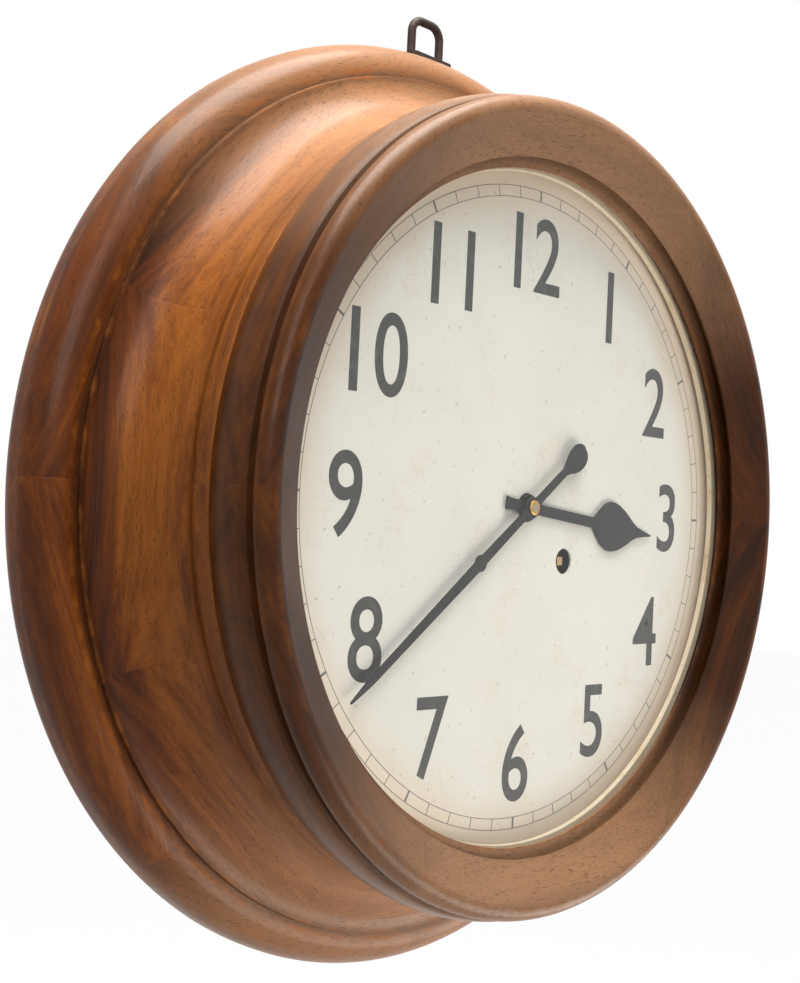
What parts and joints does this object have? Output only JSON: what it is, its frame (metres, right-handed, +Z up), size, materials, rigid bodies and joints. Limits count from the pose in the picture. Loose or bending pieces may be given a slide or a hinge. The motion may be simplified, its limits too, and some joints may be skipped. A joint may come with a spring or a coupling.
{
  "type": "wall clock",
  "caption": "Round wall clock: turned wood drum case, hinged glazed bezel, numbered dial, two hands and a spring-driven fusee movement with a short pendulum.",
  "frame": {"origin": "centre of the flat back that lies against the wall", "axes": "+Y into the wall, the front looks along -Y, +Z up, +X to the right as seen from the front"},
  "size_m": [0.435, 0.1108, 0.4581],
  "materials": {
    "case_wood": "polished reddish brown hardwood",
    "bezel_wood": "polished reddish brown hardwood, darker",
    "board_wood": "unpolished pine",
    "dial_paint": "aged off-white paint, satin",
    "hand_paint": "black, satin",
    "black_iron": "black iron, dull",
    "brass": "aged brass",
    "steel": "plain steel",
    "glass": "clear, flat"
  },
  "bodies": {
    "case": {"case_body": "case_wood", "back_board": "board_wood", "hanging_loop": "black_iron", "hinge_leaf_case": "brass", "hinge_pin": "steel", "catch_clip": "brass", "dial_plate": "dial_paint", "dial_foot_1": "brass", "dial_foot_2": "brass", "dial_foot_3": "brass", "dial_foot_4": "brass", "dial_screw_1": "brass", "dial_screw_2": "brass", "dial_screw_3": "brass", "front_plate": "brass", "back_plate": "brass", "pillar_1": "brass", "pillar_2": "brass", "pillar_3": "brass", "pillar_4": "brass", "minute_wheel_stud": "steel", "barrel_arbor": "steel", "mainspring": "steel", "fusee_chain": "steel", "setup_click": "steel", "back_cock": "brass", "suspension_block": "brass"},
    "bezel": {"bezel_ring": "bezel_wood", "bezel_glass": "glass", "glazing_ring": "brass", "hinge_leaf_bezel": "brass", "catch_pin": "steel"},
    "minute_pipe": {"cannon_pinion": "steel", "minute_hand": "hand_paint"},
    "hour_pipe": {"hour_wheel": "brass", "hour_hand": "hand_paint"},
    "motion_wheel": {"minute_wheel": "brass"},
    "centre": {"centre_arbor": "steel", "centre_wheel": "brass", "bow_spring": "brass", "hand_nut": "brass"},
    "great_arbor": {"great_wheel": "brass", "fusee_click": "steel"},
    "fusee_arbor": {"fusee": "brass"},
    "spring_barrel": {"barrel": "brass", "barrel_cap": "brass"},
    "third": {"third_arbor": "steel", "third_wheel": "brass"},
    "escape": {"escape_arbor": "steel", "escape_wheel": "brass"},
    "pendulum": {"suspension_spring": "steel", "pendulum_rod": "steel", "pendulum_bob": "brass", "rating_nut": "brass"},
    "pallets": {"anchor_arbor": "steel", "anchor": "steel", "crutch": "steel"}
  },
  "joints": [
    {"name": "bezel_hinge", "type": "hinge", "parent": "case", "child": "bezel", "pos_m": [0.1846, -0.0806, 0], "axis": [0, 0, 1], "range_deg": [0, 110]},
    {"name": "minute_turn", "type": "hinge", "parent": "case", "child": "minute_pipe", "pos_m": [0, -0.08, 0], "axis": [0, 1, 0], "continuous": true},
    {"name": "hour_turn", "type": "hinge", "parent": "case", "child": "hour_pipe", "pos_m": [0, -0.08, 0], "axis": [0, 1, 0], "continuous": true},
    {"name": "motion_wheel_turn", "type": "hinge", "parent": "case", "child": "motion_wheel", "pos_m": [0.00704, -0.075, 0.01324], "axis": [0, 1, 0], "continuous": true},
    {"name": "centre_turn", "type": "hinge", "parent": "case", "child": "centre", "pos_m": [0, -0.05, 0], "axis": [0, 1, 0], "continuous": true},
    {"name": "great_wheel_turn", "type": "hinge", "parent": "case", "child": "great_arbor", "pos_m": [0.02935, -0.034, -0.02377], "axis": [0, 1, 0], "continuous": true},
    {"name": "winding", "type": "hinge", "parent": "great_arbor", "child": "fusee_arbor", "pos_m": [0.02935, -0.05, -0.02377], "axis": [0, 1, 0], "continuous": true},
    {"name": "barrel_turn", "type": "hinge", "parent": "case", "child": "spring_barrel", "pos_m": [-0.0326, -0.045, -0.02565], "axis": [0, 1, 0], "continuous": true},
    {"name": "third_turn", "type": "hinge", "parent": "case", "child": "third", "pos_m": [-0.01778, -0.04, 0.02173], "axis": [0, 1, 0], "continuous": true},
    {"name": "escape_turn", "type": "hinge", "parent": "case", "child": "escape", "pos_m": [0, -0.05, 0.036], "axis": [0, 1, 0], "continuous": true},
    {"name": "pendulum_swing", "type": "hinge", "parent": "case", "child": "pendulum", "pos_m": [0, -0.0167, 0.0586], "axis": [0, 1, 0], "range_deg": [-3.5, 3.5]},
    {"name": "pallets_rock", "type": "hinge", "parent": "case", "child": "pallets", "pos_m": [0, -0.045, 0.0586], "axis": [0, 1, 0], "range_deg": [-3.5, 3.5]}
  ],
  "couplings": [
    {"joint": "hour_turn", "follows": "minute_turn", "ratio": 0.083333},
    {"joint": "motion_wheel_turn", "follows": "minute_turn", "ratio": -0.33333},
    {"joint": "centre_turn", "follows": "third_turn", "ratio": -0.083333},
    {"joint": "great_wheel_turn", "follows": "third_turn", "ratio": 0.0069444},
    {"joint": "escape_turn", "follows": "third_turn", "ratio": -11.667},
    {"joint": "barrel_turn", "follows": "winding", "ratio": 0.55},
    {"joint": "pallets_rock", "follows": "pendulum_swing", "ratio": 1}
  ]
}
